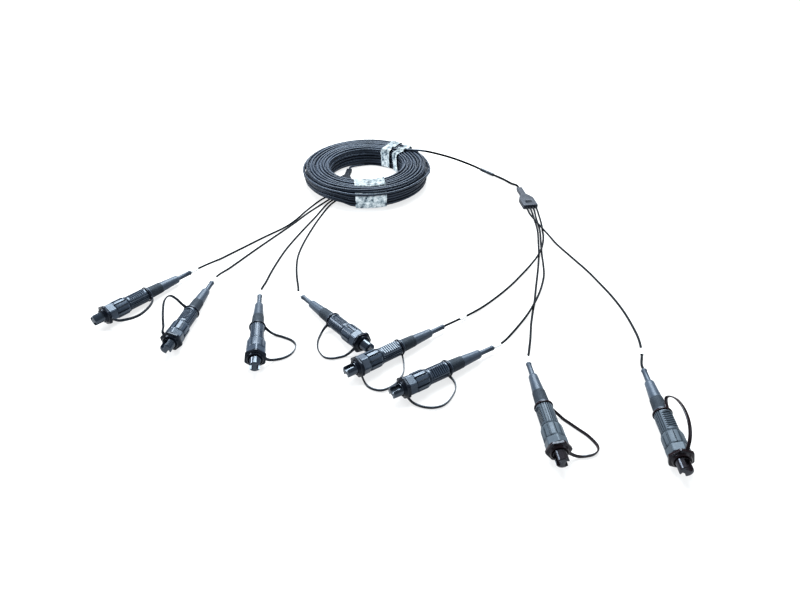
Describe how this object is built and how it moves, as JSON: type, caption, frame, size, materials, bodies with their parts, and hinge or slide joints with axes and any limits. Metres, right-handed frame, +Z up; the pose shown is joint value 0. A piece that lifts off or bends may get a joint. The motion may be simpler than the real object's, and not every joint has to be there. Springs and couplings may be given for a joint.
{
  "type": "fibre optic drop cable",
  "caption": "Pre-terminated fibre optic drop cable: taped coil of round cable, breakout blocks, thin leads and capped hardened plugs.",
  "frame": {"origin": "on the floor, below the middle of the pieces that are not free cord (coil, blocks, plugs)", "axes": "+Z up from the floor the cable lies on, +Y away from the viewer of the picture, +X to the right in it"},
  "size_m": [0.5814, 0.6401, 0.0358],
  "materials": {
    "trunk_jacket": "blue-black extruded jacket with a soft sheen",
    "lead_jacket": "black thin extruded jacket",
    "block_plastic": "blue-grey moulded plastic with fine texture",
    "cap_rubber": "near-black smooth moulded rubber",
    "nut_plastic": "blue-grey moulded plastic, satin",
    "body_plastic": "blue-grey moulded plastic with ribbed grips",
    "boot_rubber": "dark grey matt rubber, knurled at the front",
    "marker_plastic": "white printed-marker tube, left bare",
    "shrink_tube": "black shrink tube",
    "clear_tape": "translucent white wrinkled tape"
  },
  "bodies": {
    "cable": {"cable_coil": "trunk_jacket", "trunk_run": "trunk_jacket", "trunk_tail": "trunk_jacket", "trunk_sleeve": "shrink_tube", "right_breakout_block": "block_plastic", "left_breakout_block": "block_plastic", "front_tape_band": "clear_tape", "back_tape_band_1": "clear_tape", "back_tape_band_2": "clear_tape", "left_tape_patch": "clear_tape", "right_tape_patch": "clear_tape", "dust_cap_1": "cap_rubber", "connector_body_1": "body_plastic", "boot_1": "boot_rubber", "marker_sleeve_1": "marker_plastic", "lead_1": "lead_jacket", "dust_cap_2": "cap_rubber", "connector_body_2": "body_plastic", "boot_2": "boot_rubber", "marker_sleeve_2": "marker_plastic", "lead_2": "lead_jacket", "dust_cap_3": "cap_rubber", "connector_body_3": "body_plastic", "boot_3": "boot_rubber", "marker_sleeve_3": "marker_plastic", "lead_3": "lead_jacket", "dust_cap_4": "cap_rubber", "connector_body_4": "body_plastic", "boot_4": "boot_rubber", "marker_sleeve_4": "marker_plastic", "lead_4": "lead_jacket", "dust_cap_5": "cap_rubber", "connector_body_5": "body_plastic", "boot_5": "boot_rubber", "marker_sleeve_5": "marker_plastic", "lead_5": "lead_jacket", "dust_cap_6": "cap_rubber", "connector_body_6": "body_plastic", "boot_6": "boot_rubber", "marker_sleeve_6": "marker_plastic", "lead_6": "lead_jacket", "dust_cap_7": "cap_rubber", "connector_body_7": "body_plastic", "boot_7": "boot_rubber", "marker_sleeve_7": "marker_plastic", "lead_7": "lead_jacket", "dust_cap_8": "cap_rubber", "connector_body_8": "body_plastic", "boot_8": "boot_rubber", "marker_sleeve_8": "marker_plastic", "lead_8": "lead_jacket"},
    "nut_1": {"coupling_nut_1": "nut_plastic"},
    "nut_2": {"coupling_nut_2": "nut_plastic"},
    "nut_3": {"coupling_nut_3": "nut_plastic"},
    "nut_4": {"coupling_nut_4": "nut_plastic"},
    "nut_5": {"coupling_nut_5": "nut_plastic"},
    "nut_6": {"coupling_nut_6": "nut_plastic"},
    "nut_7": {"coupling_nut_7": "nut_plastic"},
    "nut_8": {"coupling_nut_8": "nut_plastic"}
  },
  "joints": [
    {"name": "coupling_nut_1_turn", "type": "hinge", "parent": "cable", "child": "nut_1", "pos_m": [-0.26577, -0.10642, 0.01074], "axis": [0.5996, 0.7987, -0.0508], "continuous": true},
    {"name": "coupling_nut_2_turn", "type": "hinge", "parent": "cable", "child": "nut_2", "pos_m": [-0.1889, -0.14544, 0.01072], "axis": [0.1217, 0.9913, -0.05], "continuous": true},
    {"name": "coupling_nut_3_turn", "type": "hinge", "parent": "cable", "child": "nut_3", "pos_m": [-0.10227, -0.17085, 0.01068], "axis": [-0.1494, 0.9876, -0.0491], "continuous": true},
    {"name": "coupling_nut_4_turn", "type": "hinge", "parent": "cable", "child": "nut_4", "pos_m": [-0.0053, -0.15101, 0.01061], "axis": [-0.6487, 0.7596, -0.0473], "continuous": true},
    {"name": "coupling_nut_5_turn", "type": "hinge", "parent": "cable", "child": "nut_5", "pos_m": [0.01274, -0.18857, 0.01061], "axis": [0.7935, 0.6067, -0.0473], "continuous": true},
    {"name": "coupling_nut_6_turn", "type": "hinge", "parent": "cable", "child": "nut_6", "pos_m": [0.05783, -0.21726, 0.01061], "axis": [0.8291, 0.5571, -0.0473], "continuous": true},
    {"name": "coupling_nut_7_turn", "type": "hinge", "parent": "cable", "child": "nut_7", "pos_m": [0.17504, -0.28327, 0.01045], "axis": [-0.0558, 0.9975, -0.0429], "continuous": true},
    {"name": "coupling_nut_8_turn", "type": "hinge", "parent": "cable", "child": "nut_8", "pos_m": [0.27601, -0.29187, 0.01061], "axis": [0.0505, 0.9976, -0.0473], "continuous": true}
  ]
}
